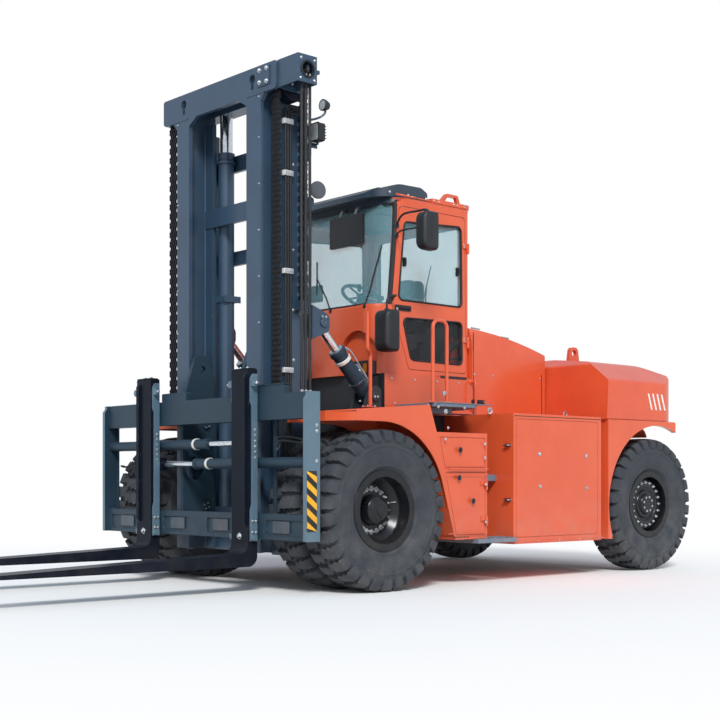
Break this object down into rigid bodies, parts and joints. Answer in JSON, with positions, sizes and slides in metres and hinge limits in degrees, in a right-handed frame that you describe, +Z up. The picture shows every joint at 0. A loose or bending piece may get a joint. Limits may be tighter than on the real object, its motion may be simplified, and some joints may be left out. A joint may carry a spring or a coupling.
{
  "type": "electric counterbalance forklift",
  "caption": "Heavy electric counterbalance forklift with twin front tyres, two-stage mast, fork carriage, raised cab and cast counterweight.",
  "frame": {"origin": "floor level under the middle of the machine's overall box", "axes": "+X towards the fork tips, +Y to the driver's left, +Z up"},
  "size_m": [7.975, 3.249, 4.5149],
  "materials": {
    "orange_paint": "gloss",
    "mast_paint": "satin",
    "frame_paint": "satin",
    "fork_paint": "satin",
    "rim_paint": "satin",
    "tyre": "matte",
    "chrome": "polished",
    "steel": "satin",
    "black_plastic": "matte",
    "handrail_steel": "gloss",
    "lamp_plastic": "satin",
    "fabric": "matte",
    "glass": "clear",
    "hose_rubber": "matte",
    "cast_weight": "painted"
  },
  "bodies": {
    "chassis": {"chassis_frame": "frame_paint", "drive_axle": "frame_paint", "steer_axle": "frame_paint", "steer_ram": "frame_paint", "battery_pack": "frame_paint", "fenders": "orange_paint", "side_cabinets": "orange_paint", "battery_boxes": "orange_paint", "steps": "frame_paint", "hood": "orange_paint", "counterweight": "cast_weight", "cab_base": "frame_paint", "cab_shell": "orange_paint", "cab_roof": "black_plastic", "seat": "fabric", "steering_column": "black_plastic", "tilt_brackets": "frame_paint", "towing_lugs": "orange_paint", "cab_glass": "glass", "handrails": "handrail_steel", "mirrors": "black_plastic", "lamps": "lamp_plastic"},
    "front_wheel_left": {"front_tyres_left": "tyre", "front_rims_left": "rim_paint"},
    "front_wheel_right": {"front_tyres_right": "tyre", "front_rims_right": "rim_paint"},
    "rear_wheel_left": {"rear_tyre_left": "tyre", "rear_rim_left": "rim_paint"},
    "rear_wheel_right": {"rear_tyre_right": "tyre", "rear_rim_right": "rim_paint"},
    "knuckle_left": {"knuckle_left": "frame_paint"},
    "knuckle_right": {"knuckle_right": "frame_paint"},
    "steer_rod": {"steer_rod": "chrome"},
    "steer_link_left": {"steer_link_left": "frame_paint"},
    "steer_link_right": {"steer_link_right": "frame_paint"},
    "cabinet_door_left": {"cabinet_door_left": "orange_paint"},
    "cabinet_door_right": {"cabinet_door_right": "orange_paint"},
    "cab_door_left": {"door_left": "orange_paint", "door_glass_left": "glass"},
    "cab_door_right": {"door_right": "orange_paint", "door_glass_right": "glass"},
    "mast": {"outer_mast": "mast_paint", "lift_cylinders": "mast_paint"},
    "inner_mast": {"inner_mast": "mast_paint", "lift_rods": "chrome", "chain_sheaves": "steel", "lift_chains_rear": "steel"},
    "carriage": {"carriage": "mast_paint", "positioner_barrels": "mast_paint", "lift_chains_front": "steel", "mast_hoses": "hose_rubber"},
    "fork_left": {"fork_left": "fork_paint", "positioner_rod_left": "chrome"},
    "fork_right": {"fork_right": "fork_paint", "positioner_rod_right": "chrome"},
    "tilt_barrel_left": {"tilt_barrel_left": "frame_paint"},
    "tilt_barrel_right": {"tilt_barrel_right": "frame_paint"},
    "tilt_rod_left": {"tilt_rod_left": "chrome"},
    "tilt_rod_right": {"tilt_rod_right": "chrome"}
  },
  "joints": [
    {"name": "front_wheel_left_spin", "type": "hinge", "parent": "chassis", "child": "front_wheel_left", "pos_m": [0.6525, 1.222, 0.685], "axis": [0, 1, 0], "continuous": true},
    {"name": "front_wheel_right_spin", "type": "hinge", "parent": "chassis", "child": "front_wheel_right", "pos_m": [0.6525, -1.222, 0.685], "axis": [0, 1, 0], "continuous": true},
    {"name": "steer_left", "type": "hinge", "parent": "chassis", "child": "knuckle_left", "pos_m": [-3.2375, 0.93, 0.685], "axis": [0, 0, 1], "range_deg": [-55, 55]},
    {"name": "steer_right", "type": "hinge", "parent": "chassis", "child": "knuckle_right", "pos_m": [-3.2375, -0.93, 0.685], "axis": [0, 0, 1], "range_deg": [-55, 55]},
    {"name": "rear_wheel_left_spin", "type": "hinge", "parent": "knuckle_left", "child": "rear_wheel_left", "pos_m": [-3.2375, 1.312, 0.685], "axis": [0, 1, 0], "continuous": true},
    {"name": "rear_wheel_right_spin", "type": "hinge", "parent": "knuckle_right", "child": "rear_wheel_right", "pos_m": [-3.2375, -1.312, 0.685], "axis": [0, 1, 0], "continuous": true},
    {"name": "steer_rod_slide", "type": "slide", "parent": "chassis", "child": "steer_rod", "axis": [0, 1, 0], "range_m": [-0.2, 0.2]},
    {"name": "steer_link_left_pivot", "type": "hinge", "parent": "knuckle_left", "child": "steer_link_left", "pos_m": [-3.4775, 0.88, 0.58], "axis": [0, 0, 1], "range_deg": [-55, 55]},
    {"name": "steer_link_right_pivot", "type": "hinge", "parent": "knuckle_right", "child": "steer_link_right", "pos_m": [-3.4775, -0.88, 0.58], "axis": [0, 0, 1], "range_deg": [-55, 55]},
    {"name": "cabinet_door_left_hinge", "type": "hinge", "parent": "chassis", "child": "cabinet_door_left", "pos_m": [-0.6125, 1.562, 0.9], "axis": [0, 0, 1], "range_deg": [0, 100]},
    {"name": "cabinet_door_right_hinge", "type": "hinge", "parent": "chassis", "child": "cabinet_door_right", "pos_m": [-0.6125, -1.562, 0.9], "axis": [0, 0, -1], "range_deg": [0, 100]},
    {"name": "cab_door_left_hinge", "type": "hinge", "parent": "chassis", "child": "cab_door_left", "pos_m": [-1.2415, 0.734, 2.7], "axis": [0, 0, 1], "range_deg": [0, 85]},
    {"name": "cab_door_right_hinge", "type": "hinge", "parent": "chassis", "child": "cab_door_right", "pos_m": [-1.2415, -0.734, 2.7], "axis": [0, 0, -1], "range_deg": [0, 85]},
    {"name": "mast_tilt", "type": "hinge", "parent": "chassis", "child": "mast", "pos_m": [0.6525, 0, 0.685], "axis": [0, 1, 0], "range_deg": [-10, 6]},
    {"name": "mast_lift", "type": "slide", "parent": "mast", "child": "inner_mast", "axis": [0, 0, 1], "range_m": [0, 2], "deforming": ["lift_chains_rear"]},
    {"name": "carriage_lift", "type": "slide", "parent": "inner_mast", "child": "carriage", "axis": [0, 0, 1], "range_m": [0, 2], "deforming": ["lift_chains_front", "mast_hoses"]},
    {"name": "fork_left_shift", "type": "slide", "parent": "carriage", "child": "fork_left", "axis": [0, 1, 0], "range_m": [-0.5, 0.62]},
    {"name": "fork_right_shift", "type": "slide", "parent": "carriage", "child": "fork_right", "axis": [0, -1, 0], "range_m": [-0.5, 0.62]},
    {"name": "tilt_barrel_left_pivot", "type": "hinge", "parent": "chassis", "child": "tilt_barrel_left", "pos_m": [0.0525, 0.7, 1.7], "axis": [0, 1, 0], "range_deg": [-16, 10]},
    {"name": "tilt_rod_left_slide", "type": "slide", "parent": "tilt_barrel_left", "child": "tilt_rod_left", "axis": [0.6897, 0, 0.7241], "range_m": [-0.26, 0.17]},
    {"name": "tilt_barrel_right_pivot", "type": "hinge", "parent": "chassis", "child": "tilt_barrel_right", "pos_m": [0.0525, -0.7, 1.7], "axis": [0, 1, 0], "range_deg": [-16, 10]},
    {"name": "tilt_rod_right_slide", "type": "slide", "parent": "tilt_barrel_right", "child": "tilt_rod_right", "axis": [0.6897, 0, 0.7241], "range_m": [-0.26, 0.17]}
  ],
  "couplings": [
    {"joint": "steer_right", "follows": "steer_left", "ratio": 1},
    {"joint": "steer_rod_slide", "follows": "steer_left", "m_per_rad": -0.2},
    {"joint": "steer_link_left_pivot", "follows": "steer_left", "ratio": -1},
    {"joint": "steer_link_right_pivot", "follows": "steer_left", "ratio": -1},
    {"joint": "carriage_lift", "follows": "mast_lift", "ratio": 1},
    {"joint": "tilt_barrel_left_pivot", "follows": "mast_tilt", "ratio": 1.45},
    {"joint": "tilt_rod_left_slide", "follows": "mast_tilt", "m_per_rad": 1.11},
    {"joint": "tilt_barrel_right_pivot", "follows": "mast_tilt", "ratio": 1.45},
    {"joint": "tilt_rod_right_slide", "follows": "mast_tilt", "m_per_rad": 1.11}
  ]
}
